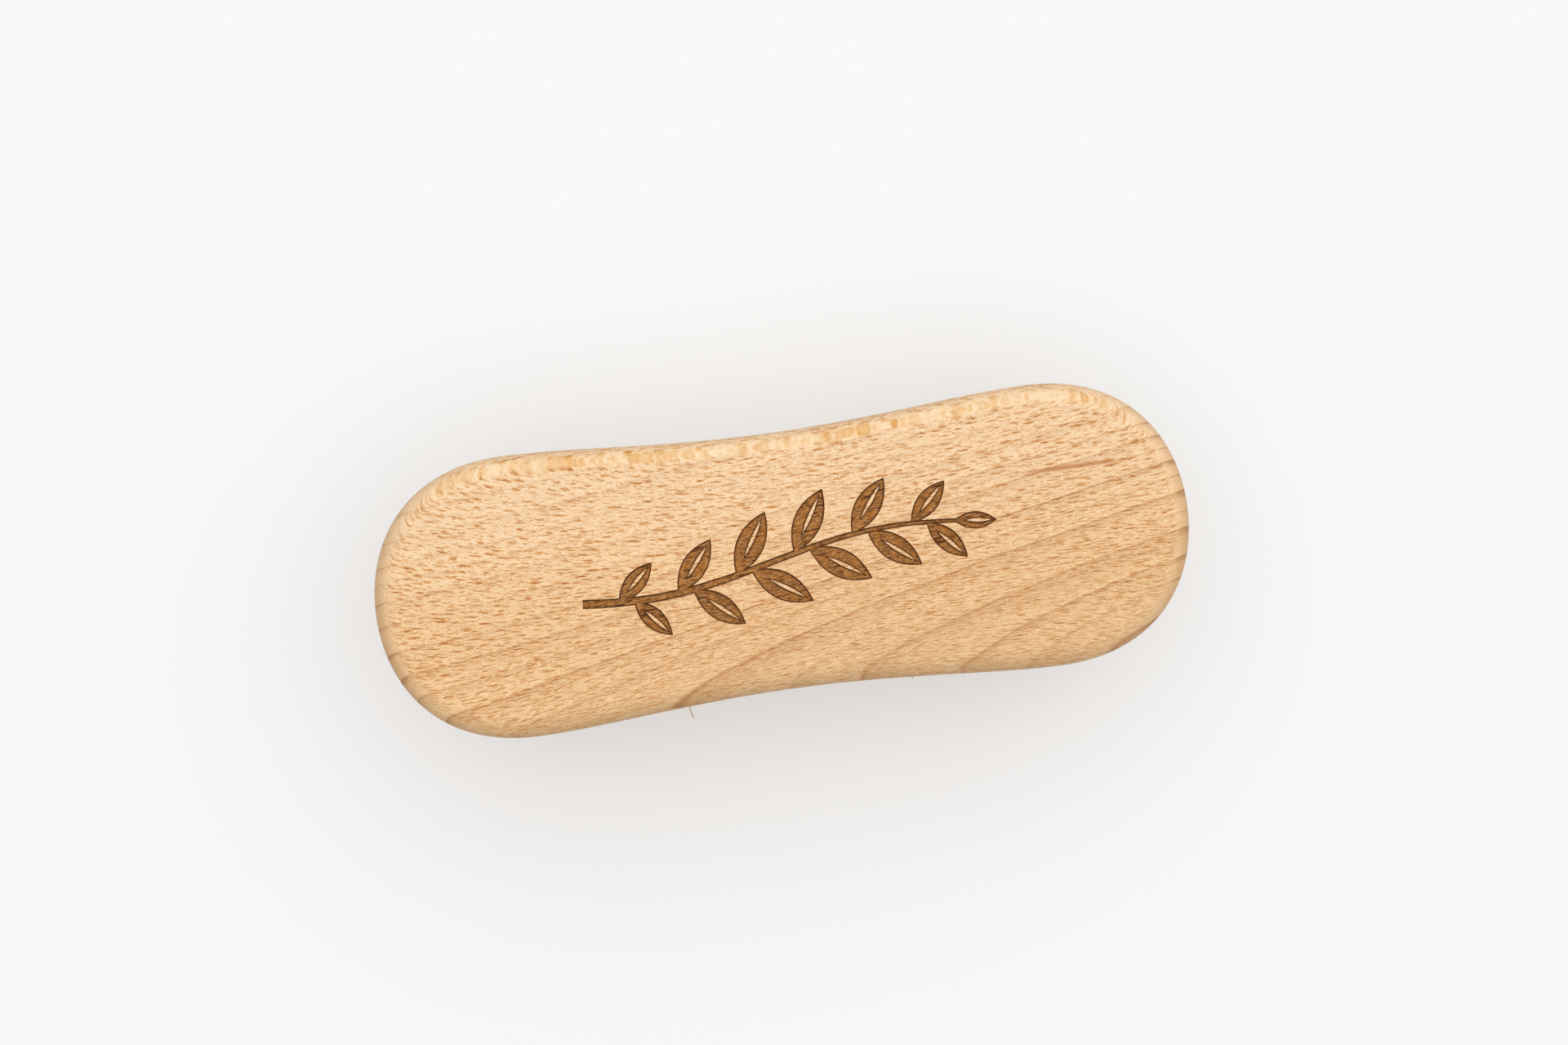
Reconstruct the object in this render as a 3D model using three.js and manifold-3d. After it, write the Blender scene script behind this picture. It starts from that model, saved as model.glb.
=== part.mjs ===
// A small clothes brush: a waisted beech block, drilled from below, with fifty-nine tufts of plant fibre.
// Millimetres, +Z up. X runs along the block, and the brush stands on its bristle tips at z = 0.
import * as THREE from 'three';
import { mergeVertices } from 'three/addons/utils/BufferGeometryUtils.js';
import Module from 'manifold-3d';

const wasm = await Module();
wasm.setup();

// Driving dimensions
const brushLength = 150;
const endHalfWidth = 25.9;
const waistHalfWidth = 23.5;
const bristleTrim = 24; // from the trimmed tips up to the underside of the block
const blockThickness = 20;
const topRound = 4;
const undersideRound = 1.5;
const holeRadius = 2.5;
const holeDepth = 11;
const tipRadius = 4.5;
const tuftClearance = 0.3; // between a tuft and the wall or floor of its hole

// The outline, a quarter at a time: a waist curve, then a shoulder curve that ends on the nose.
const shoulderX = 48.4;
const waistHandle = 20.5;
const shoulderHandleIn = 12.7;
const shoulderHandleOut = 18.1;
const noseHandle = 13.5;

// The tufts: five staggered rows that bow outwards from the waist, fanned a little as they are drilled.
const tuftPitch = 11;
const rowPitchAtWaist = 8.1;
const rowPitchAtEnds = 8.7;
const rows = [
  { name: 'a', offset: 2, count: 11 },
  { name: 'b', offset: 1, count: 12 },
  { name: 'c', offset: 0, count: 13 },
  { name: 'd', offset: -1, count: 12 },
  { name: 'e', offset: -2, count: 11 },
];
const longestRow = Math.max(...rows.map((row) => row.count));
const lastTuftX = ((longestRow - 1) / 2) * tuftPitch;
const fanAcross = THREE.MathUtils.degToRad(4.5); // lean of the outermost rows
const fanAlong = THREE.MathUtils.degToRad(4); // lean of the last tufts of the middle row

// The engraving: a leafy sprig, cut shallow into the top face.
const engravingDepth = 0.4;
const sprigStart = -37;
const sprigEnd = 33;
const sprigRise = 3;
const sprigSway = 1.2;
const stemWidth = 1.7;
const stemTipWidth = 0.8;
const leafPairs = 6;
const leafLengthAtEnds = 8;
const leafLengthInMiddle = 13;
const leafWidth = 0.4; // of its length
const leafSpread = THREE.MathUtils.degToRad(46);
const leafStagger = 0.04; // along the stem, between the leaves of a pair
const lastLeafAt = 0.985;
const veinWidth = 0.6;
const veinStart = 0.3; // along the leaf
const veinEnd = 0.86;

// How finely the curves are cut into facets
const outlineSteps = 11;
const topRoundSteps = 5;
const undersideRoundSteps = 2;
const holeSides = 14;
const tuftSides = 12;
const stemSteps = 18;
const leafSteps = 6;

const overlap = 1; // how far a cutter runs past the face it cuts
const blockBottom = bristleTrim;
const blockTop = bristleTrim + blockThickness;
const halfLength = brushLength / 2;

const beech = new THREE.MeshStandardMaterial({ color: 0xeec796, roughness: 0.62, metalness: 0 });
const fibre = new THREE.MeshStandardMaterial({ color: 0xe3cd9c, roughness: 0.55, metalness: 0 });

// --- Geometry to solid and back ---

function solidOf(geometry) {
  const bare = geometry.clone();
  bare.deleteAttribute('normal');
  bare.deleteAttribute('uv');
  const merged = mergeVertices(bare, 1e-4);
  const mesh = new wasm.Mesh({
    numProp: 3,
    vertProperties: merged.getAttribute('position').array,
    triVerts: new Uint32Array(merged.index.array),
  });
  return new wasm.Manifold(mesh);
}

function geometryOf(solid) {
  const mesh = solid.getMesh();
  const geometry = new THREE.BufferGeometry();
  geometry.setAttribute('position', new THREE.BufferAttribute(mesh.vertProperties, 3));
  geometry.setIndex(new THREE.BufferAttribute(mesh.triVerts, 1));
  geometry.computeVertexNormals();
  return geometry;
}

function addAll(solids) {
  return solids.reduce((whole, solid) => whole.add(solid));
}

// --- The block ---

// One quarter's two curves, from the waist to the nose, in the quarter where x and y are positive.
function quarterCurves() {
  return [
    [0, waistHalfWidth, waistHandle, waistHalfWidth,
      shoulderX - shoulderHandleIn, endHalfWidth, shoulderX, endHalfWidth],
    [shoulderX, endHalfWidth, shoulderX + shoulderHandleOut, endHalfWidth,
      halfLength, noseHandle, halfLength, 0],
  ];
}

function reversed(curve) {
  return [curve[6], curve[7], curve[4], curve[5], curve[2], curve[3], curve[0], curve[1]];
}

function mirrored(curve, signX, signY) {
  return curve.map((value, i) => value * (i % 2 === 0 ? signX : signY));
}

// The whole outline, anticlockwise from the nose at +X.
function outlineShape() {
  const outward = quarterCurves();
  const inward = outward.map(reversed).reverse();
  const round = [
    ...inward,
    ...outward.map((curve) => mirrored(curve, -1, 1)),
    ...inward.map((curve) => mirrored(curve, -1, -1)),
    ...outward.map((curve) => mirrored(curve, 1, -1)),
  ];
  const shape = new THREE.Shape();
  shape.moveTo(halfLength, 0);
  for (const [, , ax, ay, bx, by, x, y] of round) {
    shape.bezierCurveTo(ax, ay, bx, by, x, y);
  }
  return shape;
}

// The outline extruded from one height to another, with both of its rims rounded.
function roundedSlab(bottom, top, radius, steps) {
  const geometry = new THREE.ExtrudeGeometry(outlineShape(), {
    depth: top - bottom - 2 * radius,
    curveSegments: outlineSteps,
    bevelThickness: radius,
    bevelSize: radius,
    bevelOffset: -radius,
    bevelSegments: steps,
  });
  geometry.translate(0, 0, bottom + radius);
  return solidOf(geometry);
}

function blockBody() {
  const reach = 2 * topRound;
  const roundOnTop = roundedSlab(blockBottom - reach, blockTop, topRound, topRoundSteps);
  const roundBelow = roundedSlab(blockBottom, blockTop + reach, undersideRound, undersideRoundSteps);
  return roundOnTop.intersect(roundBelow);
}

// --- The tufts and the holes they are set in ---

// Where each tuft leaves the underside, and how it leans.
function tuftPlaces() {
  const places = [];
  for (const row of rows) {
    for (let i = 0; i < row.count; i += 1) {
      const x = (i - (row.count - 1) / 2) * tuftPitch;
      const bow = (x / lastTuftX) ** 2;
      const y = row.offset * THREE.MathUtils.lerp(rowPitchAtWaist, rowPitchAtEnds, bow);
      const number = String(i + 1).padStart(2, '0');
      places.push({
        name: `tuft_${row.name}${number}`,
        x,
        y,
        leanX: (fanAlong * x) / lastTuftX,
        leanY: (fanAcross * row.offset) / 2,
      });
    }
  }
  return places;
}

// Turns a profile about the Z axis and sets it in the underside of the block, with its mouth at the
// profile's height 0. A positive lean tips the bristle ends, which point down, outwards.
function turnedInBlock(profile, sides, place) {
  const geometry = new THREE.LatheGeometry(profile, sides);
  geometry.rotateX(Math.PI / 2);
  geometry.rotateX(place.leanY);
  geometry.rotateY(-place.leanX);
  geometry.translate(place.x, place.y, blockBottom);
  return solidOf(geometry);
}

function drill(place) {
  const drillPoint = holeRadius * Math.tan(THREE.MathUtils.degToRad(31));
  const profile = [
    new THREE.Vector2(0, -overlap),
    new THREE.Vector2(holeRadius, -overlap),
    new THREE.Vector2(holeRadius, holeDepth),
    new THREE.Vector2(0, holeDepth + drillPoint),
  ];
  return turnedInBlock(profile, holeSides, place);
}

// A tuft's outer shape: straight in its hole, then flaring to the tips. It is trimmed level afterwards.
function tuftBundle(place) {
  const neck = holeRadius - tuftClearance;
  const profile = [
    new THREE.Vector2(0, -bristleTrim - overlap),
    new THREE.Vector2(tipRadius, -bristleTrim - overlap),
    new THREE.Vector2((neck + tipRadius) / 2, -bristleTrim / 2),
    new THREE.Vector2(neck, 0),
    new THREE.Vector2(neck, holeDepth - tuftClearance),
    new THREE.Vector2(0, holeDepth - tuftClearance),
  ];
  return turnedInBlock(profile, tuftSides, place);
}

// Everything above the level that the tips are trimmed to.
function trimmingSpace() {
  const geometry = new THREE.BoxGeometry(2 * brushLength, brushLength, 2 * blockTop);
  geometry.translate(0, 0, blockTop);
  return solidOf(geometry);
}

// --- The engraving ---

// The stem climbs in a slow S from one end (t = 0) to the other (t = 1).
function stemPoint(t) {
  const climb = -sprigRise * Math.cos(Math.PI * t) - sprigSway * Math.sin(2 * Math.PI * t);
  return new THREE.Vector2(THREE.MathUtils.lerp(sprigStart, sprigEnd, t), climb);
}

function stemDirection(t) {
  const step = 1e-3;
  return stemPoint(t + step).sub(stemPoint(t - step)).normalize();
}

function cutter(shape) {
  const depth = engravingDepth + overlap;
  const geometry = new THREE.ExtrudeGeometry(shape, { depth, curveSegments: leafSteps, bevelEnabled: false });
  geometry.translate(0, 0, blockTop - engravingDepth);
  return solidOf(geometry);
}

function stemCutter() {
  const left = [];
  const right = [];
  for (let i = 0; i <= stemSteps; i += 1) {
    const t = i / stemSteps;
    const direction = stemDirection(t);
    const half = THREE.MathUtils.lerp(stemWidth, stemTipWidth, t) / 2;
    const side = new THREE.Vector2(-direction.y, direction.x).multiplyScalar(half);
    left.push(stemPoint(t).add(side));
    right.push(stemPoint(t).sub(side));
  }
  return cutter(new THREE.Shape([...right, ...left.reverse()]));
}

// Draws a pointed oval. A quadratic curve reaches half of its handle's height, so the handles stand
// one whole width off the line between the points.
function drawOval(path, start, tip, width) {
  const middle = start.clone().lerp(tip, 0.5);
  const along = tip.clone().sub(start).normalize();
  const across = new THREE.Vector2(-along.y, along.x).multiplyScalar(width);
  const right = middle.clone().sub(across);
  const left = middle.clone().add(across);
  path.moveTo(start.x, start.y);
  path.quadraticCurveTo(right.x, right.y, tip.x, tip.y);
  path.quadraticCurveTo(left.x, left.y, start.x, start.y);
  return path;
}

// A leaf that grows from a point of the stem, with a vein left standing along its middle.
function leafCutter(base, angle, length) {
  const along = new THREE.Vector2(Math.cos(angle), Math.sin(angle));
  const at = (share) => along.clone().multiplyScalar(share * length).add(base);
  const leaf = drawOval(new THREE.Shape(), at(0), at(1), leafWidth * length);
  leaf.holes.push(drawOval(new THREE.Path(), at(veinStart), at(veinEnd), veinWidth));
  return cutter(leaf);
}

function sprigCutter() {
  const cuts = [stemCutter()];
  for (let i = 0; i < leafPairs; i += 1) {
    const t = (i + 0.6) / (leafPairs + 0.4);
    const heading = stemDirection(t).angle();
    const length = THREE.MathUtils.lerp(leafLengthAtEnds, leafLengthInMiddle, Math.sin(Math.PI * t));
    cuts.push(leafCutter(stemPoint(t), heading + leafSpread, length));
    cuts.push(leafCutter(stemPoint(t + leafStagger), heading - leafSpread, length));
  }
  cuts.push(leafCutter(stemPoint(lastLeafAt), stemDirection(1).angle(), leafLengthAtEnds));
  return addAll(cuts);
}

// --- The brush ---

function namedMesh(name, solid, material) {
  const mesh = new THREE.Mesh(geometryOf(solid), material);
  mesh.name = name;
  return mesh;
}

function clothesBrush() {
  const brush = new THREE.Group();
  const places = tuftPlaces();
  const holes = addAll(places.map(drill));
  const block = blockBody().subtract(holes).subtract(sprigCutter());
  brush.add(namedMesh('block', block, beech));

  const kept = trimmingSpace();
  const tufts = new THREE.Group();
  for (const place of places) {
    tufts.add(namedMesh(place.name, tuftBundle(place).intersect(kept), fibre));
  }
  brush.add(tufts);
  return brush;
}

export default clothesBrush();
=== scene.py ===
import math
import random

import bmesh
import bpy
from mathutils import Matrix, Vector


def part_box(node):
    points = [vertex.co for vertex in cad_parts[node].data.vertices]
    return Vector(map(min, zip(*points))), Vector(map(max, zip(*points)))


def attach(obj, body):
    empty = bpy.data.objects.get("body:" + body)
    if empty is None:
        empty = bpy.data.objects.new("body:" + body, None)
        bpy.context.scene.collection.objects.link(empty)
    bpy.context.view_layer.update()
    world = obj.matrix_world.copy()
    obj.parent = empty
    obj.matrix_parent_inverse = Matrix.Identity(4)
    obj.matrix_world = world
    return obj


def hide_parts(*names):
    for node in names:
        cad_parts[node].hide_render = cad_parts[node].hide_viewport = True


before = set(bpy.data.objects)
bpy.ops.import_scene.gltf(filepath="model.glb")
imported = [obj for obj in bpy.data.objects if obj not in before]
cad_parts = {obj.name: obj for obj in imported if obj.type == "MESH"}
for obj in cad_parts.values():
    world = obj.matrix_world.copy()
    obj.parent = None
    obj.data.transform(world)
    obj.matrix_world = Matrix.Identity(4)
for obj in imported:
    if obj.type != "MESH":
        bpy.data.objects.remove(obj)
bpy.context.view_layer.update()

mm = 0.001
random.seed(59)
tuftNames = sorted(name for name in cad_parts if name.startswith("tuft_"))
blockLow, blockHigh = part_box("block")
topHeight = blockHigh.z / mm  # the patterns in the wood are laid out in millimetres
print("frame loaded:", len(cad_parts), "nodes")


def setInputs(tree, node, inputs):
    # Each value is a number, a colour or another node's output.
    for name, value in dict(inputs).items():
        if isinstance(value, bpy.types.NodeSocket):
            tree.links.new(value, node.inputs[name])
        else:
            node.inputs[name].default_value = value


def addNode(tree, kind, inputs=(), **settings):
    node = tree.nodes.new("ShaderNode" + kind)
    for name, value in settings.items():
        setattr(node, name, value)
    setInputs(tree, node, inputs)
    return node


def calc(tree, operation, *values, clamp=False):
    node = addNode(tree, "Math", enumerate(values), operation=operation, use_clamp=clamp)
    return node.outputs[0]


def calcVector(tree, operation, *values):
    node = addNode(tree, "VectorMath", enumerate(values), operation=operation)
    return node.outputs["Value" if operation in ("LENGTH", "DOT_PRODUCT") else "Vector"]


def joinXyz(tree, x, y, z):
    return addNode(tree, "CombineXYZ", {"X": x, "Y": y, "Z": z}).outputs[0]


def splitXyz(tree, vector):
    return addNode(tree, "SeparateXYZ", {0: vector}).outputs


def noise(tree, vector, scale=1.0, detail=2.0, roughness=0.5, output=0):
    # output is 0 for one value or 1 for three unlike ones
    node = addNode(tree, "TexNoise", {"Vector": vector, "Scale": scale, "Detail": detail, "Roughness": roughness})
    return node.outputs[output]


def remap(tree, value, low, high, newLow=0.0, newHigh=1.0, smooth=True):
    node = addNode(tree, "MapRange", {"Value": value, "From Min": low, "From Max": high,
                                      "To Min": newLow, "To Max": newHigh})
    node.interpolation_type = "SMOOTHSTEP" if smooth else "LINEAR"
    return node.outputs[0]


def polynomial(tree, value, factors):
    total = factors[-1]
    for factor in reversed(factors[:-1]):
        total = calc(tree, "MULTIPLY_ADD", total, value, factor)
    return total


def blendColour(tree, mode, factor, first, second):
    node = addNode(tree, "Mix", {0: factor, 6: first, 7: second}, data_type="RGBA", blend_type=mode)
    return node.outputs[2]


def newGroup(name, ins, outs):
    tree = bpy.data.node_groups.new(name, "ShaderNodeTree")
    for socketName, kind in ins.items():
        tree.interface.new_socket(name=socketName, in_out="INPUT", socket_type="NodeSocket" + kind)
    for socketName, kind in outs.items():
        tree.interface.new_socket(name=socketName, in_out="OUTPUT", socket_type="NodeSocket" + kind)
    return tree, tree.nodes.new("NodeGroupInput").outputs, tree.nodes.new("NodeGroupOutput").inputs


def useGroup(tree, group, **inputs):
    return addNode(tree, "Group", inputs, node_tree=group).outputs


def newMaterial(name):
    material = bpy.data.materials.new(name)
    material.use_nodes = True
    return material, material.node_tree, material.node_tree.nodes["Principled BSDF"]


def bumpFrom(tree, height):
    return addNode(tree, "Bump", {"Height": height, "Distance": 1.0}).outputs[0]


def inMillimetres(tree):
    place = addNode(tree, "TexCoord").outputs["Object"]
    return addNode(tree, "VectorMath", {0: place, "Scale": 1 / mm}, operation="SCALE").outputs[0]


# The heart of the tree ran over the block, off to its -Y side and dipping towards +X.
wood = {
    "heartY": -35.2, "heartSlant": 0.057,
    "heartHeight": 30.0, "heartDip": -0.165, "heartSag": -0.00082, "lowestHeart": 8.0, "ringDrop": 0.15,
    "rayHeartY": -33.0, "rayHeartHeight": 26.0, "arcRadius": 50.0,
    "wobbleScale": (0.012, 0.05, 0.05), "ringWobble": 3.0, "arcWobble": 2.0,
    "silverStart": 0.93, "silverFull": 0.99,  # how nearly a ray plate lies in the surface
    # how the fibres spread and drift along the block, as powers of the length in decimetres
    "fibreSpread": (1.0, 0.364, -0.766, -0.268, 0.385), "fibreDrift": (0.0, 0.8, -3.6, 2.6),
    # where each year's ring ends, in millimetres from the heart, and how dark it gets there
    "rings": [(10, 0.35), (15, 0.35), (20, 0.9), (23.4, 0.5), (26.5, 0.8), (30.7, 0.8), (33.4, 0.4),
              (36.6, 1.0), (39.4, 0.45), (42.0, 0.9), (44.4, 0.45), (46.8, 0.8), (49.6, 0.6), (53.2, 0.55),
              (56.3, 0.45), (58.7, 0.3), (60.9, 0.45), (64.5, 0.4), (68.5, 0.4), (73, 0.4), (77, 0.4)],
    "ringsPerRamp": 7, "lateWood": 0.3, "innermost": 5.0,
    # how fine each pattern is along the fibres, round the heart and out from it
    "bandScale": (0.01, 0.06, 0.9), "streakScale": (1.7, 5.5, 4.0), "poreScale": (2.6, 11.0, 7.0),
}


def makeGrainSpace():
    # Millimetres in, and out come the place along the fibres, round the heart and out from the heart,
    # and where the ray plates lie flat in the surface, as silver grain.
    tree, ins, outs = newGroup("grainSpace", {"Place": "Vector", "Facing": "Vector"},
                               {"Radius": "Float", "Grain": "Vector", "Silver": "Float"})
    x, y, z = splitXyz(tree, ins["Place"])
    depth = calc(tree, "SUBTRACT", topHeight, z)

    heartY = calc(tree, "MULTIPLY_ADD", x, wood["heartSlant"], wood["heartY"])
    heartUp = polynomial(tree, x, (wood["heartHeight"], wood["heartDip"], wood["heartSag"]))
    heartUp = calc(tree, "MAXIMUM", heartUp, wood["lowestHeart"])
    across = calc(tree, "SUBTRACT", y, heartY)
    down = calc(tree, "MULTIPLY_ADD", depth, wood["ringDrop"], heartUp)
    wobblePlace = calcVector(tree, "MULTIPLY", ins["Place"], wood["wobbleScale"])
    wobbles = splitXyz(tree, noise(tree, wobblePlace, output=1))
    reach = calcVector(tree, "LENGTH", joinXyz(tree, across, down, 0.0))
    radius = calc(tree, "MULTIPLY_ADD", calc(tree, "SUBTRACT", wobbles[0], 0.5), wood["ringWobble"], reach)

    decimetres = calc(tree, "MULTIPLY", x, 0.01)
    yAlong = calc(tree, "MULTIPLY_ADD", y, polynomial(tree, decimetres, wood["fibreSpread"]),
                  polynomial(tree, decimetres, wood["fibreDrift"]))
    angle = calc(tree, "ARCTAN2", calc(tree, "SUBTRACT", yAlong, wood["rayHeartY"]),
                 calc(tree, "ADD", depth, wood["rayHeartHeight"]))
    arc = calc(tree, "MULTIPLY", angle, wood["arcRadius"])
    arc = calc(tree, "MULTIPLY_ADD", calc(tree, "SUBTRACT", wobbles[1], 0.5), wood["arcWobble"], arc)

    plate = joinXyz(tree, 0.0, calc(tree, "COSINE", angle), calc(tree, "SINE", angle))
    flat = calc(tree, "ABSOLUTE", calcVector(tree, "DOT_PRODUCT", plate, ins["Facing"]))
    tree.links.new(remap(tree, flat, wood["silverStart"], wood["silverFull"]), outs["Silver"])
    tree.links.new(radius, outs["Radius"])
    tree.links.new(joinXyz(tree, x, arc, radius), outs["Grain"])
    return tree


def ringStretch(tree, radius, low, rings):
    # A few rings in one ramp. Each is pale at first and darkens slowly, then fast in the late wood at its edge.
    high = rings[-1][0]
    ramp = addNode(tree, "ValToRGB", {0: remap(tree, radius, low, high, 0.0, 1.0, False)})
    stops = ramp.color_ramp.elements
    stops[0].color = stops[1].color = (0, 0, 0, 1)
    inner = low
    for edge, dark in rings:
        for place, share in ((inner + 0.1, 0.0), (inner + 0.6 * (edge - inner), 0.22),
                             (edge - wood["lateWood"], 0.5), (edge - 0.1, 1.0)):
            stop = stops.new((place - low) / (high - low))
            stop.color = (dark * share, dark * share, dark * share, 1)
        inner = edge
    return ramp.outputs[0]


def makeGrowthRings():
    # 0 in the pale early wood, rising to 1 at the ring's outer edge, where it drops back at once.
    tree, ins, outs = newGroup("growthRings", {"Grain": "Vector", "Radius": "Float"},
                               {"Ring": "Float", "Band": "Float"})
    tone, low = 0.0, wood["innermost"]
    for first in range(0, len(wood["rings"]), wood["ringsPerRamp"]):
        stretch = wood["rings"][first:first + wood["ringsPerRamp"]]
        tone = calc(tree, "ADD", tone, ringStretch(tree, ins["Radius"], low, stretch))
        low = stretch[-1][0]
    tree.links.new(tone, outs["Ring"])
    stretched = calcVector(tree, "MULTIPLY", ins["Grain"], wood["bandScale"])
    tree.links.new(noise(tree, stretched, 1.0, 3.0, 0.6), outs["Band"])
    return tree


def swayed(tree, grain, scale, amount):
    # Pushes the pattern about a little, so that no line runs dead straight.
    sway = calcVector(tree, "SUBTRACT", noise(tree, grain, scale, 1.0, output=1), (0.5, 0.5, 0.5))
    return calcVector(tree, "ADD", grain, calcVector(tree, "MULTIPLY", sway, amount))


def makeRayFlecks():
    # Each ray is a thin plate that runs out from the heart. Length, width and spacing are in millimetres.
    sizes = ("Length", "Width", "SpacingAlong", "SpacingAround", "Depth", "Shift")
    tree, ins, outs = newGroup("rayFlecks", {"Grain": "Vector", **{size: "Float" for size in sizes}},
                               {"Fleck": "Float", "Core": "Float", "Tone": "Float"})
    moved = swayed(tree, ins["Grain"], 1.1, (0.9, 0.16, 0.0))
    moved = calcVector(tree, "ADD", moved, joinXyz(tree, ins["Shift"], ins["Shift"], ins["Shift"]))
    cell = joinXyz(tree, ins["SpacingAlong"], ins["SpacingAround"], ins["Depth"])
    scaled = calcVector(tree, "DIVIDE", moved, cell)
    cells = addNode(tree, "TexVoronoi", {"Vector": scaled, "Scale": 1.0, "Randomness": 1.0}).outputs
    away = calcVector(tree, "MULTIPLY", calcVector(tree, "SUBTRACT", scaled, cells["Position"]), cell)
    chance = splitXyz(tree, cells["Color"])
    length = calc(tree, "MULTIPLY", ins["Length"], remap(tree, chance[0], 0.0, 1.0, 0.3, 0.7, False))
    width = calc(tree, "MULTIPLY", ins["Width"], remap(tree, chance[1], 0.0, 1.0, 0.3, 0.7, False))
    shape = calcVector(tree, "DIVIDE", away, joinXyz(tree, length, width, ins["Depth"]))
    reach = calcVector(tree, "LENGTH", shape)
    tree.links.new(remap(tree, reach, 1.0, 0.6), outs["Fleck"])
    tree.links.new(remap(tree, reach, 0.8, 0.25), outs["Core"])
    tree.links.new(chance[2], outs["Tone"])
    return tree


def makeFibres():
    # Fine streaks and pores along the grain.
    tree, ins, outs = newGroup("fibres", {"Grain": "Vector"}, {"Streak": "Float", "Pore": "Float"})
    woven = swayed(tree, ins["Grain"], 0.7, (0.6, 0.7, 0.5))
    streaks = calcVector(tree, "MULTIPLY", woven, wood["streakScale"])
    tree.links.new(noise(tree, streaks, 1.0, 4.0, 0.75), outs["Streak"])
    pores = calcVector(tree, "MULTIPLY", woven, wood["poreScale"])
    tree.links.new(remap(tree, noise(tree, pores, 1.0, 2.0, 0.6), 0.48, 0.66), outs["Pore"])
    return tree


grainSpace = makeGrainSpace()
growthRings = makeGrowthRings()
rayFlecks = makeRayFlecks()
fibres = makeFibres()

beech = {
    "early": (0.90, 0.66, 0.42, 1), "late": (0.60, 0.34, 0.15, 1),
    "golden": (0.97, 0.91, 0.80, 1), "fleck": (0.85, 0.67, 0.40, 1), "fleckCore": (0.70, 0.50, 0.36, 1),
    "pale": (0.97, 0.82, 0.65, 1), "silver": (0.91, 0.685, 0.43, 1), "pore": (0.80, 0.62, 0.42, 1),
    "endGrain": (0.90, 0.82, 0.74, 1), "endLine": (0.55, 0.36, 0.22, 1),
    "largeFlecks": {"Length": 2.9, "SpacingAlong": 2.6, "SpacingAround": 0.5, "Depth": 9.0, "Shift": 0.0},
    "largeFleckWidth": 0.22,
    "smallFlecks": {"Length": 1.7, "Width": 0.13, "SpacingAlong": 1.5, "SpacingAround": 0.27,
                    "Depth": 6.0, "Shift": 7.3},
    "bandStrength": 0.6, "fleckStrength": 1.0, "smallFleckStrength": 0.8, "faintestFleck": 0.35,
    "streakStrength": 1.44, "poreStrength": 0.8, "silverStrength": 0.6, "endLineStrength": 0.42,
    "relief": 0.03,
}

# the dark streak that minerals left near the +X end
mineral = {
    "colour": (0.44, 0.16, 0.032, 1), "strength": 0.75,
    "start": 43.0, "end": 66.0, "fadeIn": 7.0, "fadeOut": 6.0,
    "y": 9.95, "halfWidth": 0.4, "softEdge": 0.3, "ragged": 0.4,
}


def addMineralStreak(tree, colour, x, y, unevenness):
    away = calc(tree, "ABSOLUTE", calc(tree, "SUBTRACT", y, mineral["y"]))
    away = calc(tree, "MULTIPLY_ADD", unevenness, mineral["ragged"], away)
    amount = remap(tree, away, mineral["halfWidth"] + mineral["softEdge"], mineral["halfWidth"])
    start = remap(tree, x, mineral["start"], mineral["start"] + mineral["fadeIn"])
    amount = calc(tree, "MULTIPLY", amount, start)
    fade = remap(tree, x, mineral["end"] - mineral["fadeOut"], mineral["end"], mineral["strength"], 0.0)
    return blendColour(tree, "MIX", calc(tree, "MULTIPLY", amount, fade), colour, mineral["colour"])


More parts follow.
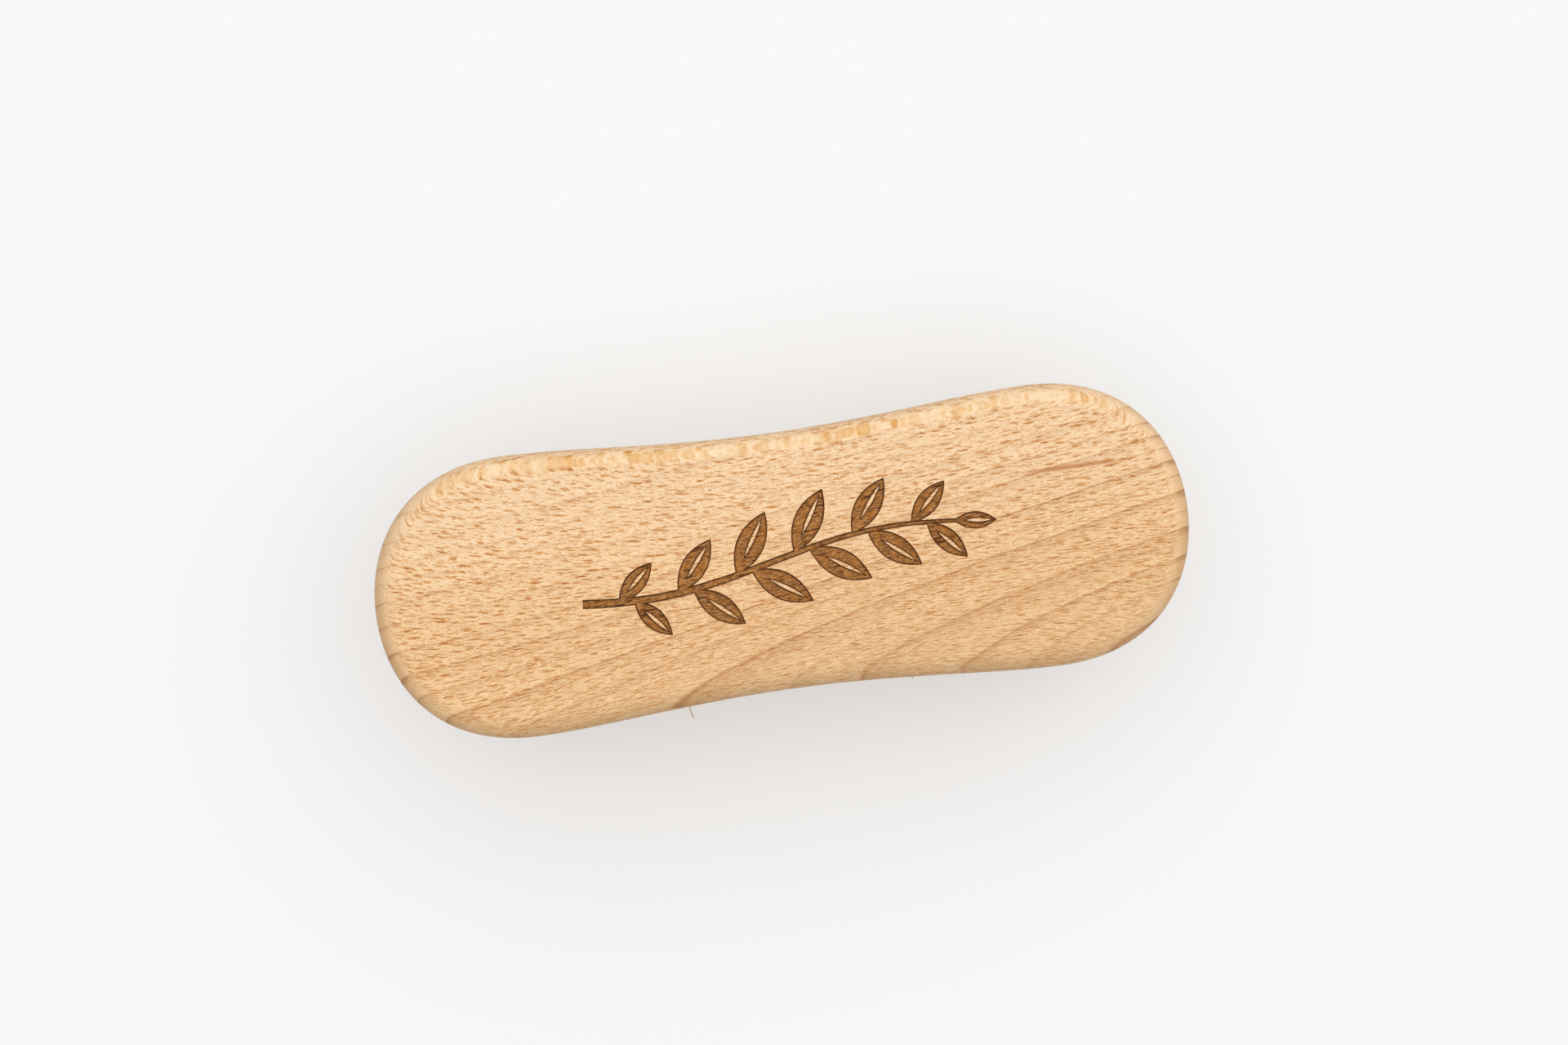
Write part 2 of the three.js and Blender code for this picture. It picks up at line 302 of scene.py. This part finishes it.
def woodColour(tree):
    # Returns the wood's colour and the height of its grain.
    place = inMillimetres(tree)
    x, y = splitXyz(tree, place)[:2]
    facing = addNode(tree, "TexCoord").outputs["Normal"]
    grain = useGroup(tree, grainSpace, Place=place, Facing=facing)
    rings = useGroup(tree, growthRings, Grain=grain["Grain"], Radius=grain["Radius"])
    # The rays look three times as wide where they lie flat in the surface.
    widening = calc(tree, "MULTIPLY_ADD", grain["Silver"], 2.0, 1.0)
    large = useGroup(tree, rayFlecks, Grain=grain["Grain"], **beech["largeFlecks"],
                     Width=calc(tree, "MULTIPLY", widening, beech["largeFleckWidth"]))
    small = useGroup(tree, rayFlecks, Grain=grain["Grain"], **beech["smallFlecks"])
    fine = useGroup(tree, fibres, Grain=grain["Grain"])
    facingEnds = calc(tree, "ABSOLUTE", splitXyz(tree, facing)[0])
    endFacing = remap(tree, facingEnds, 0.25, 0.75)
    golden = remap(tree, y, 18.0, -10.0)  # from the pale +Y edge to the golden -Y half

    bands = calc(tree, "MULTIPLY", calc(tree, "SUBTRACT", rings["Band"], 0.5), beech["bandStrength"])
    tone = calc(tree, "ADD", rings["Ring"], bands, clamp=True)
    streaks = calc(tree, "MULTIPLY", calc(tree, "SUBTRACT", fine["Streak"], 0.5), beech["streakStrength"])
    tone = calc(tree, "ADD", tone, streaks, clamp=True)
    colour = blendColour(tree, "MIX", tone, beech["early"], beech["late"])
    colour = blendColour(tree, "MIX", remap(tree, fine["Streak"], 0.45, 0.25, 0.0, 0.5), colour, beech["pale"])
    colour = blendColour(tree, "MULTIPLY", golden, colour, beech["golden"])
    pores = calc(tree, "MULTIPLY", fine["Pore"], beech["poreStrength"])
    pores = calc(tree, "MULTIPLY", pores, calc(tree, "SUBTRACT", 1.0, endFacing))
    colour = blendColour(tree, "MULTIPLY", pores, colour, beech["pore"])
    silver = calc(tree, "MULTIPLY", grain["Silver"], beech["silverStrength"])
    colour = blendColour(tree, "MIX", silver, colour, beech["silver"])

    onFaces = remap(tree, facingEnds, 0.12, 0.5, 1.0, 0.12)  # end grain hardly shows its rays
    onFaces = calc(tree, "MULTIPLY", onFaces, remap(tree, golden, 0.0, 1.0, 0.95, 1.25, False))
    notSilver = calc(tree, "SUBTRACT", 1.0, grain["Silver"])
    for flecks, strength in ((small, beech["smallFleckStrength"]), (large, beech["fleckStrength"])):
        each = remap(tree, flecks["Tone"], 0.0, 1.0, beech["faintestFleck"], strength, False)
        amount = calc(tree, "MULTIPLY", onFaces, each)
        colour = blendColour(tree, "MULTIPLY", calc(tree, "MULTIPLY", flecks["Fleck"], amount, clamp=True),
                             colour, beech["fleck"])
        amount = calc(tree, "MULTIPLY", amount, notSilver)
        colour = blendColour(tree, "MULTIPLY", calc(tree, "MULTIPLY", flecks["Core"], amount, clamp=True),
                             colour, beech["fleckCore"])
    colour = addMineralStreak(tree, colour, x, y, fine["Streak"])

    colour = blendColour(tree, "MULTIPLY", endFacing, colour, beech["endGrain"])
    line = calc(tree, "MULTIPLY", remap(tree, rings["Ring"], 0.2, 0.38), endFacing)
    line = calc(tree, "MULTIPLY", line, beech["endLineStrength"])
    colour = blendColour(tree, "MULTIPLY", line, colour, beech["endLine"])

    height = calc(tree, "MULTIPLY_ADD", large["Fleck"], -0.6, fine["Streak"])
    height = calc(tree, "MULTIPLY_ADD", fine["Pore"], -0.5, height)
    return colour, calc(tree, "MULTIPLY", height, beech["relief"] * mm)


def makeBeech():
    material, tree, shader = newMaterial("beech")
    colour, height = woodColour(tree)
    rough = remap(tree, noise(tree, inMillimetres(tree), 0.4, 3.0), 0.3, 0.7, 0.5, 0.64)
    setInputs(tree, shader, {"Base Color": colour, "Normal": bumpFrom(tree, height),
                             "Roughness": rough, "Specular IOR Level": 0.35})
    return material


burn = {
    "floor": (0.22, 0.076, 0.014, 1), "ridge": (0.52, 0.27, 0.10, 1), "amber": (0.35, 0.12, 0.015, 1),
    # the walls' colour: dark char and painted shade of the recess together
    "char": (0.045, 0.014, 0.004, 1), "wall": (0.085, 0.024, 0.005, 1), "wallCharAndShade": 0.75,
    "ridgeScale": (0.9, 6.0, 4.0), "crackScale": (0.22, 2.4, 1.5), "patchScale": 0.55,
    "relief": 0.14,
}


def makeBurnt(name, wallCharAndShade):
    # Scorched by the laser: ridges of tougher late wood stand across the strokes, with a few charred cracks.
    material, tree, shader = newMaterial(name)
    place = inMillimetres(tree)
    grain = useGroup(tree, grainSpace, Place=place)["Grain"]
    ridges = noise(tree, calcVector(tree, "MULTIPLY", grain, burn["ridgeScale"]), 1.0, 3.0, 0.75)
    patches = noise(tree, place, burn["patchScale"], 2.0, 0.6)
    cracks = noise(tree, calcVector(tree, "MULTIPLY", grain, burn["crackScale"]))
    colour = blendColour(tree, "MIX", remap(tree, patches, 0.42, 0.6), burn["floor"], burn["amber"])
    colour = blendColour(tree, "MIX", remap(tree, ridges, 0.46, 0.62, 0.0, 0.85), colour, burn["ridge"])
    colour = blendColour(tree, "MIX", remap(tree, ridges, 0.44, 0.3, 0.0, 0.8), colour, burn["char"])
    colour = blendColour(tree, "MIX", remap(tree, cracks, 0.64, 0.7, 0.0, 0.9), colour, burn["char"])
    # painted shade with real char: the walls of the engraving are mixed towards the near-black wall colour
    colour = blendColour(tree, "MIX", wallCharAndShade, colour, burn["wall"])
    height = calc(tree, "MULTIPLY_ADD", remap(tree, cracks, 0.6, 0.7), -1.0, ridges)
    height = calc(tree, "MULTIPLY", height, burn["relief"] * mm)
    setInputs(tree, shader, {"Base Color": colour, "Normal": bumpFrom(tree, height),
                             "Roughness": 0.8, "Specular IOR Level": 0.2})
    return material


bristle = {
    "straw": (0.90, 0.70, 0.41, 1), "tan": (0.71, 0.47, 0.22, 1), "cream": (0.95, 0.83, 0.58, 1),
    "streak": (0.78, 0.63, 0.45, 1), "root": (0.78, 0.64, 0.48, 1), "streakScale": (6.0, 6.0, 0.35),
}


def makeBristleFibre():
    # Split plant stalk: each fibre has a tone of its own, with streaks along it.
    material, tree, shader = newMaterial("plantFibre")
    chance = addNode(tree, "NewGeometry").outputs["Random Per Island"]
    place = inMillimetres(tree)
    height = splitXyz(tree, place)[2]
    colour = blendColour(tree, "MIX", chance, bristle["straw"], bristle["tan"])
    pale = remap(tree, calc(tree, "FRACT", calc(tree, "MULTIPLY", chance, 7.0)), 0.5, 1.0)
    colour = blendColour(tree, "MIX", pale, colour, bristle["cream"])
    streaky = calcVector(tree, "MULTIPLY", place, bristle["streakScale"])
    streaks = remap(tree, noise(tree, streaky, 1.0, 3.0), 0.4, 0.7, 0.0, 0.6)
    colour = blendColour(tree, "MULTIPLY", streaks, colour, bristle["streak"])
    darker = remap(tree, height, 14.0, 26.0, 0.0, 0.4)  # towards the block
    colour = blendColour(tree, "MULTIPLY", darker, colour, bristle["root"])
    rough = remap(tree, noise(tree, streaky, 2.0, 2.0), 0.3, 0.7, 0.38, 0.6)
    setInputs(tree, shader, {"Base Color": colour, "Roughness": rough, "Specular IOR Level": 0.4})
    return material


wire = {"bright": (0.66, 0.65, 0.62, 1), "dull": (0.45, 0.43, 0.40, 1), "lineScale": (0.6, 9.0, 9.0)}


def makeStapleWire():
    material, tree, shader = newMaterial("drawnWire")
    lines = noise(tree, calcVector(tree, "MULTIPLY", inMillimetres(tree), wire["lineScale"]), 1.0, 3.0)
    colour = blendColour(tree, "MIX", lines, wire["bright"], wire["dull"])
    rough = remap(tree, lines, 0.3, 0.7, 0.28, 0.48)
    setInputs(tree, shader, {"Base Color": colour, "Roughness": rough, "Metallic": 1.0})
    return material


beechMaterial = makeBeech()
engravedFloor = makeBurnt("engravedFloor", 0.0)
# the engraving's walls are darkened: real char and painted shade of the recess
engravedWall = makeBurnt("engravedWall", burn["wallCharAndShade"])
fibreMaterial = makeBristleFibre()
wireMaterial = makeStapleWire()
print("materials made")


def addObject(name, data):
    added = bpy.data.objects.new(name, data)
    bpy.context.scene.collection.objects.link(added)
    return added


def pieceFrom(bm, name, *materials):
    mesh = bpy.data.meshes.new(name)
    bm.to_mesh(mesh)
    bm.free()
    for material in materials:
        mesh.materials.append(material)
    return addObject(name, mesh)


def finishedMesh(shown):
    return bpy.data.meshes.new_from_object(shown.evaluated_get(bpy.context.evaluated_depsgraph_get()))


def meshOfCurve(curve):
    holder = addObject(curve.name, curve)
    mesh = finishedMesh(holder)
    bpy.data.objects.remove(holder)
    return mesh


def applyModifiers(piece):
    mesh = finishedMesh(piece)
    piece.modifiers.clear()
    piece.data = mesh


def vertsIn(geometry):
    return [element for element in geometry if isinstance(element, bmesh.types.BMVert)]


def facesOf(verts):
    return list({face for vert in verts for face in vert.link_faces})


def cutAway(piece, cutter):
    cut = piece.modifiers.new("cut", "BOOLEAN")
    cut.operation = "DIFFERENCE"
    cut.solver = "EXACT"
    cut.use_self = True
    cut.material_mode = "TRANSFER"
    cut.object = cutter
    applyModifiers(piece)
    bpy.data.objects.remove(cutter)


block = {
    "shoulderX": 48.4, "waistHalf": 23.5, "waistHandle": 20.5, "shoulderIn": 12.7, "shoulderOut": 18.1,
    "noseHandle": 13.5, "steps": 26,
    "topRound": 4.0, "topSteps": 12, "bottomRound": 1.5, "bottomSteps": 5, "sharpAngle": 35,
}


def outlineOfBlock():
    # One closed Bezier line: nose, shoulder, waist and shoulder, then the same again on the other side.
    halfLength, halfWidth = blockHigh.x, blockHigh.y
    curve = bpy.data.curves.new("outline", "CURVE")
    curve.dimensions = "3D"
    curve.resolution_u = block["steps"]
    spline = curve.splines.new("BEZIER")
    spline.bezier_points.add(7)
    spline.use_cyclic_u = True
    knots = []
    for side in (1, -1):
        nose = (0, side * block["noseHandle"] * mm)
        shoulderX, shoulderIn, shoulderOut, waist = (
            side * block[key] * mm for key in ("shoulderX", "shoulderIn", "shoulderOut", "waistHandle"))
        knots += [
            ((side * halfLength, 0), nose, nose),
            ((shoulderX, side * halfWidth), (-shoulderOut, 0), (-shoulderIn, 0)),
            ((0, side * block["waistHalf"] * mm), (-waist, 0), (-waist, 0)),
            ((-shoulderX, side * halfWidth), (-shoulderIn, 0), (-shoulderOut, 0)),
        ]
    for point, (place, before, after) in zip(spline.bezier_points, knots):
        at = Vector((*place, 0))
        point.co = at
        point.handle_left = at - Vector((*before, 0))
        point.handle_right = at + Vector((*after, 0))
    return meshOfCurve(curve)


def makeBlank():
    # The outline filled, raised and rounded, before it is drilled.
    bm = bmesh.new()
    bm.from_mesh(outlineOfBlock())
    bmesh.ops.remove_doubles(bm, verts=bm.verts, dist=1e-6)
    bottom = bmesh.ops.contextual_create(bm, geom=bm.edges)["faces"]
    bmesh.ops.translate(bm, verts=bm.verts, vec=(0, 0, blockLow.z))
    raised = bmesh.ops.extrude_face_region(bm, geom=bottom, use_keep_orig=True)["geom"]
    bmesh.ops.translate(bm, verts=vertsIn(raised), vec=(0, 0, blockHigh.z - blockLow.z))
    for height, offset, steps in ((blockHigh.z, block["topRound"], block["topSteps"]),
                                  (blockLow.z, block["bottomRound"], block["bottomSteps"])):
        rim = [e for e in bm.edges if all(abs(v.co.z - height) < 1e-6 for v in e.verts)]
        bmesh.ops.bevel(bm, geom=rim, offset=offset * mm, offset_type="OFFSET", segments=steps,
                        profile=0.5, affect="EDGES", material=-1)
    bmesh.ops.recalc_face_normals(bm, faces=bm.faces)
    return pieceFrom(bm, "block_wood", beechMaterial, engravedFloor, engravedWall)


sprig = {
    "depth": 0.4, "start": -37.0, "end": 33.0, "rise": 3.0, "sway": 1.2,
    "stemWidth": 1.7, "stemTipWidth": 0.8, "stemSteps": 60,
    "pairs": 6, "endLeaf": 8.0, "middleLeaf": 13.0, "leafWidth": 0.4, "spread": 46.0, "stagger": 0.04,
    "lastLeaf": 0.985, "leafSides": 48, "veinWidth": 0.6, "veinStart": 0.3, "veinEnd": 0.86,
    "wallSlope": 0.28, "pastFace": 0.1,
}


def stemAt(t):
    climb = -sprig["rise"] * math.cos(math.pi * t) - sprig["sway"] * math.sin(2 * math.pi * t)
    return Vector((sprig["start"] + (sprig["end"] - sprig["start"]) * t, climb))


def headingAt(t):
    step = stemAt(t + 0.001) - stemAt(t - 0.001)
    return math.atan2(step.y, step.x)


def edgesBetween(verts):
    chosen = set(verts)
    return list({e for v in verts for e in v.link_edges if e.other_vert(v) in chosen})


def closeCutter(bm, verts):
    # A copy of the recess, raised past the face of the block, closes the cutter.
    made = bmesh.ops.extrude_face_region(bm, geom=facesOf(verts), use_keep_orig=True)["geom"]
    bmesh.ops.translate(bm, verts=vertsIn(made), vec=(0, 0, 1.0))


def cutLeaf(bm, base, angle, length):
    # A tube of four rings, folded flat into the leaf's bank, its floor, and the bank of the vein left standing.
    verts = ring = bmesh.ops.create_circle(bm, segments=sprig["leafSides"], radius=1.0)["verts"]
    for _ in range(3):
        made = bmesh.ops.extrude_edge_only(bm, edges=edgesBetween(ring))["geom"]
        ring = vertsIn(made)
        bmesh.ops.translate(bm, verts=ring, vec=(0, 0, 1))
        verts = verts + ring
    depth, slope, past = sprig["depth"], sprig["wallSlope"], sprig["pastFace"]
    width, lip = sprig["leafWidth"] * length, slope * past / depth
    veinStart, veinLength = sprig["veinStart"] * length, (sprig["veinEnd"] - sprig["veinStart"]) * length
    # how far each ring is grown, and its height
    leaf, vein = (0, length, width, 1.6), (veinStart, veinLength, sprig["veinWidth"], 2.5)
    rings = [(*leaf, lip, past), (*leaf, -slope, -depth), (*vein, slope, -depth), (*vein, -lip, past)]
    for vert in verts:
        x = vert.co.x
        side = 0.0 if abs(vert.co.y) < 1e-6 else math.copysign(1.0, vert.co.y)
        start, long, wide, tip, grown, height = rings[round(vert.co.z)]
        vert.co = (start - tip * grown + (x + 1) / 2 * (long + 2 * tip * grown),
                   side * (1 - x * x) * (wide / 2 + grown), height)
    bmesh.ops.rotate(bm, verts=verts, cent=(0, 0, 0), matrix=Matrix.Rotation(angle, 3, "Z"))
    bmesh.ops.translate(bm, verts=verts, vec=base.to_3d())
    closeCutter(bm, verts)


def cutStem(bm):
    # A trough that follows the stem and narrows to its tip: two banks and a floor between them.
    strip = bmesh.ops.create_grid(bm, x_segments=sprig["stemSteps"], y_segments=3, size=0.5)["verts"]
    for vert in strip:
        t, side = vert.co.x + 0.5, math.copysign(1.0, vert.co.y)
        onFloor = abs(vert.co.y) < 0.4
        lip = sprig["wallSlope"] * sprig["pastFace"] / sprig["depth"]
        half = (sprig["stemWidth"] + (sprig["stemTipWidth"] - sprig["stemWidth"]) * t) / 2
        half += -sprig["wallSlope"] if onFloor else lip
        across = Vector((-math.sin(headingAt(t)), math.cos(headingAt(t))))
        vert.co = (stemAt(t) + across * side * half).to_3d()
        vert.co.z = -sprig["depth"] if onFloor else sprig["pastFace"]
    closeCutter(bm, strip)


def makeSprigCutter():
    bm = bmesh.new()
    cutStem(bm)
    for i in range(sprig["pairs"]):
        t = (i + 0.6) / (sprig["pairs"] + 0.4)
        length = sprig["endLeaf"] + (sprig["middleLeaf"] - sprig["endLeaf"]) * math.sin(math.pi * t)
        for place, turn in ((t, sprig["spread"]), (t + sprig["stagger"], -sprig["spread"])):
            cutLeaf(bm, stemAt(place), headingAt(t) + math.radians(turn), length)
    cutLeaf(bm, stemAt(sprig["lastLeaf"]), headingAt(1), sprig["endLeaf"])
    bmesh.ops.scale(bm, vec=(mm, mm, mm), verts=bm.verts)
    bmesh.ops.translate(bm, verts=bm.verts, vec=(0, 0, blockHigh.z))
    bmesh.ops.recalc_face_normals(bm, faces=bm.faces)
    floorHeight = blockHigh.z - (sprig["depth"] - 0.01) * mm
    for face in bm.faces:
        face.material_index = 1 if all(v.co.z < floorHeight for v in face.verts) else 2
    return pieceFrom(bm, "sprig_cutter", beechMaterial, engravedFloor, engravedWall)


tuft = {
    "fibres": 150, "fibreRadius": 0.14, "neckRadius": 2.2, "tipRadius": 4.2, "points": 6,
    "wave": 0.16, "unevenTips": 0.5, "strayChance": 0.012, "strayReach": 3.0,
    "looseFibres": 0.22, "flare": 1.25, "highestEnd": 1.2, "shortestTrim": 0.06, "tipTaper": 0.75,
    "holeRadius": 2.5, "holeDepth": 11.0, "holeSides": 28, "drillPoint": 1.5, "pastUnderside": 1.0,
    # bent fibres that reach out past the block: how far their tips lean, in millimetres
    "bent": {"tuft_e04": (1.3, -5.8), "tuft_e08": (-0.6, -4.0)},
}


def middleOf(verts):
    return sum((v.co for v in verts), Vector()) / len(verts)


def tuftAxis(name):
    # From the middle of the trimmed tips to the middle of the end in the hole.
    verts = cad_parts[name].data.vertices
    top = max(v.co.z for v in verts)
    tips = middleOf([v for v in verts if v.co.z < 0.05 * mm])
    seat = middleOf([v for v in verts if v.co.z > top - 0.6 * mm])
    return tips, seat


def atHeight(tips, seat, height):
    return tips.lerp(seat, (height - tips.z) / (seat.z - tips.z))


def makeDrillCutter():
    bm = bmesh.new()
    for name in tuftNames:
        tips, seat = tuftAxis(name)
        mouth = atHeight(tips, seat, blockLow.z)
        axis = (seat - tips).normalized()
        turn = Vector((0, 0, 1)).rotation_difference(axis).to_matrix()
        radius, depth, point, past = (
            tuft[key] * mm for key in ("holeRadius", "holeDepth", "drillPoint", "pastUnderside"))
        made = bmesh.ops.create_cone(bm, cap_ends=True, segments=tuft["holeSides"], radius1=radius,
                                     radius2=radius, depth=depth + past)["verts"]
        bmesh.ops.translate(bm, verts=made, vec=(0, 0, (depth - past) / 2))
        cap = [face for face in facesOf(made) if face.normal.z > 0.9]
        poked = bmesh.ops.poke(bm, faces=cap)["verts"]
        bmesh.ops.translate(bm, verts=poked, vec=(0, 0, point))
        made += poked
        bmesh.ops.rotate(bm, verts=made, cent=(0, 0, 0), matrix=turn)
        bmesh.ops.translate(bm, verts=made, vec=mouth)
    bmesh.ops.recalc_face_normals(bm, faces=bm.faces)
    return pieceFrom(bm, "drill_cutter", beechMaterial)


def makeBlock():
    piece = makeBlank()
    cutAway(piece, makeDrillCutter())
    cutAway(piece, makeSprigCutter())
    piece.data.shade_smooth()
    edges = piece.modifiers.new("edges", "EDGE_SPLIT")
    edges.split_angle = math.radians(block["sharpAngle"])
    applyModifiers(piece)
    weighted = piece.modifiers.new("normals", "WEIGHTED_NORMAL")
    weighted.keep_sharp = True
    weighted.weight = 100
    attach(piece, "root")
    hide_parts("block")
    return piece


blockPiece = makeBlock()
print("block made:", len(blockPiece.data.polygons), "faces")


def fibrePath(tips, seat, spread, turn, wander):
    # A fibre runs straight in its hole and leans out below it. spread is its place from the middle, 0 to 1.
    out = Vector((math.cos(turn), math.sin(turn), 0))
    trimmed = random.uniform(tuft["shortestTrim"], tuft["unevenTips"]) * mm
    phase, swing = random.uniform(0, 2 * math.pi), random.uniform(0, 2 * math.pi)
    side = Vector((math.cos(swing), math.sin(swing), 0))
    inHole = atHeight(tips, seat, seat.z - tuft["highestEnd"] * mm)
    path = [inHole + out * spread * tuft["neckRadius"] * mm]
    steps = tuft["points"] - 1
    for i in range(steps):
        share = i / (steps - 1)  # 0 at the underside of the block, 1 at the tip
        height = blockLow.z + (trimmed - blockLow.z) * share
        reach = tuft["neckRadius"] + (tuft["tipRadius"] - tuft["neckRadius"]) * share ** tuft["flare"]
        bend = side * math.sin(phase + 4 * share) * tuft["wave"] * share * mm
        path.append(atHeight(tips, seat, height) + out * spread * reach * mm + bend + wander * share ** 2)
    return path


def makeTuft(name):
    tips, seat = tuftAxis(name)
    curve = bpy.data.curves.new(name + "_line", "CURVE")
    curve.dimensions = "3D"
    curve.bevel_depth = tuft["fibreRadius"] * mm
    curve.bevel_resolution = 1
    curve.use_fill_caps = True
    paths = []
    for i in range(tuft["fibres"]):
        # evenly spread over the disc, each a golden angle on from the last
        spread = math.sqrt((i + 0.5) / tuft["fibres"])
        turn = i * math.radians(137.5) + random.uniform(-0.15, 0.15)
        loose = tuft["looseFibres"]
        wander = Vector((random.gauss(0, loose), random.gauss(0, loose), 0)) * mm
        if random.random() < tuft["strayChance"]:
            stray = Vector((math.cos(turn), math.sin(turn), 0))
            wander = stray * random.uniform(0.4, 1) * tuft["strayReach"] * mm
        paths.append(fibrePath(tips, seat, spread, turn, wander))
    if name in tuft["bent"]:
        wander = Vector((*tuft["bent"][name], 0)) * mm
        paths.append(fibrePath(tips, seat, 1.0, math.radians(-90), wander))
    for path in paths:
        spline = curve.splines.new("POLY")
        spline.points.add(len(path) - 1)
        for point, place in zip(spline.points, path):
            point.co = (*place, 1)
            point.radius = random.uniform(0.85, 1.1)
        spline.points[-1].radius *= tuft["tipTaper"]
        spline.use_smooth = True
    mesh = meshOfCurve(curve)
    mesh.materials.clear()
    mesh.materials.append(fibreMaterial)
    piece = addObject(name.replace("tuft", "bristles"), mesh)
    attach(piece, "root")
    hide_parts(name)
    return piece


tuftPieces = [makeTuft(name) for name in tuftNames]
print("tufts made:", len(tuftPieces), "with", len(tuftPieces[0].data.polygons), "faces each")


# flat wires at the bottom of the holes
staple = {"width": 5.7, "height": 1.6, "thickness": 0.35, "edge": 0.06, "belowSeat": 1.6, "unevenTurn": 0.2}


def makeStaples():
    bm = bmesh.new()
    for name in tuftNames:
        tips, seat = tuftAxis(name)
        made = bmesh.ops.create_cube(bm, size=1.0)["verts"]
        bmesh.ops.scale(bm, verts=made, vec=[staple[key] * mm for key in ("thickness", "width", "height")])
        turn = Matrix.Rotation(random.uniform(-staple["unevenTurn"], staple["unevenTurn"]), 3, "Z")
        bmesh.ops.rotate(bm, verts=made, cent=(0, 0, 0), matrix=turn)
        bmesh.ops.translate(bm, verts=made, vec=atHeight(tips, seat, seat.z - staple["belowSeat"] * mm))
    bmesh.ops.bevel(bm, geom=bm.edges, offset=staple["edge"] * mm, segments=2, profile=0.5,
                    affect="EDGES", material=-1)
    piece = pieceFrom(bm, "staples", wireMaterial)
    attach(piece, "root")


makeStaples()
print("staples made")


# The floor glows though it is no lamp. This painted light lifts the brush's shadow on the floor, and the warm
# glow over a cool base colour paints a warm tint into that shadow. A weaker share of the glow reaches the brush
# as painted bounce light from below.
studio = {
    "floorSize": 6.0, "floorColour": (0.42, 0.47, 0.49, 1), "shadowLiftingGlow": (0.465, 0.41, 0.385, 1),
    "glowOnBrush": 0.41, "sky": 0.3, "backdrop": 0.93,
    "key": 2.75, "keyTilt": 17.0, "keyAzimuth": 54.0, "keySize": 110.0,
}
# the camera looks straight down from above the widest line of the block
view = {"aimX": 1.36, "aimY": 6.89, "lens": 85.0, "distance": 679.5, "outlineHeight": 39.0, "roll": 7.73}


def makeFloor():
    bm = bmesh.new()
    bmesh.ops.create_grid(bm, x_segments=1, y_segments=1, size=studio["floorSize"] / 2)
    material, tree, shader = newMaterial("paleFloor")
    # painted light: the glow is full for the camera, lifting the shadow on the floor, and weaker as light on the
    # brush
    seen = addNode(tree, "LightPath").outputs["Is Camera Ray"]
    glow = remap(tree, seen, 0.0, 1.0, studio["glowOnBrush"], 1.0, False)
    setInputs(tree, shader, {"Base Color": studio["floorColour"], "Roughness": 0.9, "Specular IOR Level": 0.1,
                             "Emission Color": studio["shadowLiftingGlow"], "Emission Strength": glow})
    # From below, the camera looks through it.
    back = addNode(tree, "NewGeometry").outputs["Backfacing"]
    clear = addNode(tree, "BsdfTransparent").outputs[0]
    both = addNode(tree, "MixShader", {0: calc(tree, "MULTIPLY", seen, back), 1: shader.outputs[0], 2: clear})
    tree.links.new(both.outputs[0], tree.nodes["Material Output"].inputs["Surface"])
    pieceFrom(bm, "floor", material)


def makeLight():
    world = bpy.data.worlds.new("sky")
    world.use_nodes = True
    tree = world.node_tree
    seen = addNode(tree, "LightPath").outputs["Is Camera Ray"]
    strength = remap(tree, seen, 0.0, 1.0, studio["sky"], studio["backdrop"], False)
    setInputs(tree, tree.nodes["Background"], {"Color": (1, 1, 1, 1), "Strength": strength})
    bpy.context.scene.world = world
    lamp = bpy.data.lights.new("key", "SUN")
    lamp.energy = studio["key"]
    lamp.angle = math.radians(studio["keySize"])
    turn = (0, math.radians(studio["keyTilt"]), math.radians(studio["keyAzimuth"]))
    addObject("key", lamp).rotation_euler = turn


def makeCamera():
    camera = bpy.data.cameras.new("camera")
    camera.lens = view["lens"]
    camera.clip_end = 10
    holder = addObject("camera", camera)
    holder.location = Vector((view["aimX"], view["aimY"], view["outlineHeight"] + view["distance"])) * mm
    holder.rotation_euler = (0, 0, -math.radians(view["roll"]))
    bpy.context.scene.camera = holder


makeFloor()
makeLight()
makeCamera()
bpy.context.scene.view_settings.view_transform = "Standard"
print("stage made")
